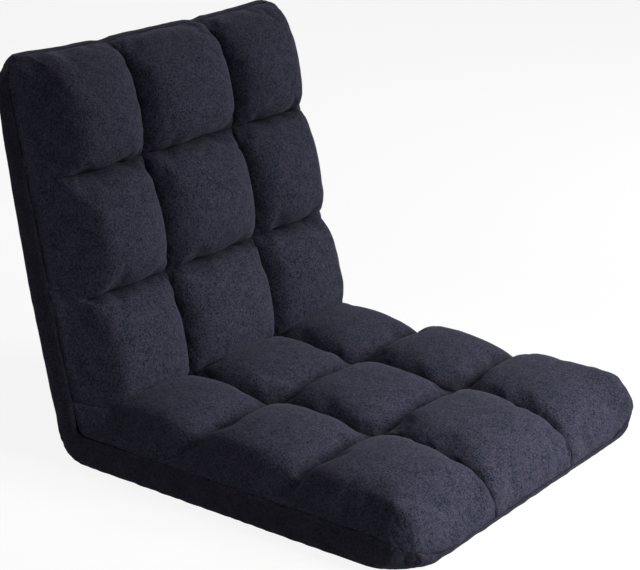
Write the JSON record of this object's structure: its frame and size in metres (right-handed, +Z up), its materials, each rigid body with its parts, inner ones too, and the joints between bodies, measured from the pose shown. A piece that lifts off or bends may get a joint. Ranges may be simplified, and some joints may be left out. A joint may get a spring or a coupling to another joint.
{
  "type": "floor chair",
  "caption": "Quilted floor chair with a padded seat and a padded back that reclines on ratchet hinges and folds over the seat.",
  "frame": {"origin": "centre of the flat underside of the chair, on the floor", "axes": "+Z up, +Y to the rear, where the back stands, and +X to the sitter's left"},
  "size_m": [0.53, 0.6091, 0.5],
  "materials": {
    "quilted_cloth": "soft brushed weave, dark navy",
    "plain_cloth": "soft brushed weave, dark navy",
    "firm_foam": "open-cell foam",
    "soft_foam": "open-cell foam",
    "felt": "needled felt",
    "frame_steel": "black powder coat",
    "hinge_steel": "zinc plated",
    "spring_steel": "spring steel"
  },
  "bodies": {
    "seat": {"fold_cover": "plain_cloth", "fold_foam": "soft_foam", "inner_cheek_left": "hinge_steel", "inner_cheek_right": "hinge_steel", "outer_cheek_left": "hinge_steel", "outer_cheek_right": "hinge_steel", "pawl_pins": "hinge_steel", "pawl_spring_left": "spring_steel", "pawl_spring_right": "spring_steel", "pivot_rivets": "hinge_steel", "seat_base_pad": "firm_foam", "seat_bottom_cover": "plain_cloth", "seat_cross_tube_front": "frame_steel", "seat_cross_tube_rear": "frame_steel", "seat_felt": "felt", "seat_foam": "soft_foam", "seat_frame_tube": "frame_steel", "seat_tuft_front_centre": "quilted_cloth", "seat_tuft_front_left": "quilted_cloth", "seat_tuft_front_right": "quilted_cloth", "seat_tuft_middle_centre": "quilted_cloth", "seat_tuft_middle_left": "quilted_cloth", "seat_tuft_middle_right": "quilted_cloth", "seat_tuft_rear_centre": "quilted_cloth", "seat_tuft_rear_left": "quilted_cloth", "seat_tuft_rear_right": "quilted_cloth", "spacer_pins": "hinge_steel"},
    "back": {"back_base_pad": "firm_foam", "back_cross_tube_high": "frame_steel", "back_cross_tube_low": "frame_steel", "back_felt": "felt", "back_foam": "soft_foam", "back_frame_tube": "frame_steel", "back_rear_cover": "plain_cloth", "back_tuft_low_centre": "quilted_cloth", "back_tuft_low_left": "quilted_cloth", "back_tuft_low_right": "quilted_cloth", "back_tuft_middle_centre": "quilted_cloth", "back_tuft_middle_left": "quilted_cloth", "back_tuft_middle_right": "quilted_cloth", "back_tuft_top_centre": "quilted_cloth", "back_tuft_top_left": "quilted_cloth", "back_tuft_top_right": "quilted_cloth", "inner_toothed_plate_left": "hinge_steel", "inner_toothed_plate_right": "hinge_steel", "outer_toothed_plate_left": "hinge_steel", "outer_toothed_plate_right": "hinge_steel"},
    "pawl_right": {"pawl_right": "hinge_steel"},
    "pawl_left": {"pawl_left": "hinge_steel"}
  },
  "joints": [
    {"name": "back_recline", "type": "hinge", "parent": "seat", "child": "back", "pos_m": [0, 0.248, 0.032], "axis": [-1, 0, 0], "range_deg": [-40, 80], "deforming": ["back_tuft_low_centre", "back_tuft_low_left", "back_tuft_low_right", "fold_cover", "fold_foam", "seat_tuft_rear_centre", "seat_tuft_rear_left", "seat_tuft_rear_right"]},
    {"name": "pawl_right_swing", "type": "hinge", "parent": "seat", "child": "pawl_right", "pos_m": [-0.231, 0.2208, 0.0191], "axis": [-1, 0, 0], "range_deg": [-6, 0], "stiffness_Nm_per_rad": 0.02},
    {"name": "pawl_left_swing", "type": "hinge", "parent": "seat", "child": "pawl_left", "pos_m": [0.231, 0.2208, 0.0191], "axis": [-1, 0, 0], "range_deg": [-6, 0], "stiffness_Nm_per_rad": 0.02}
  ]
}
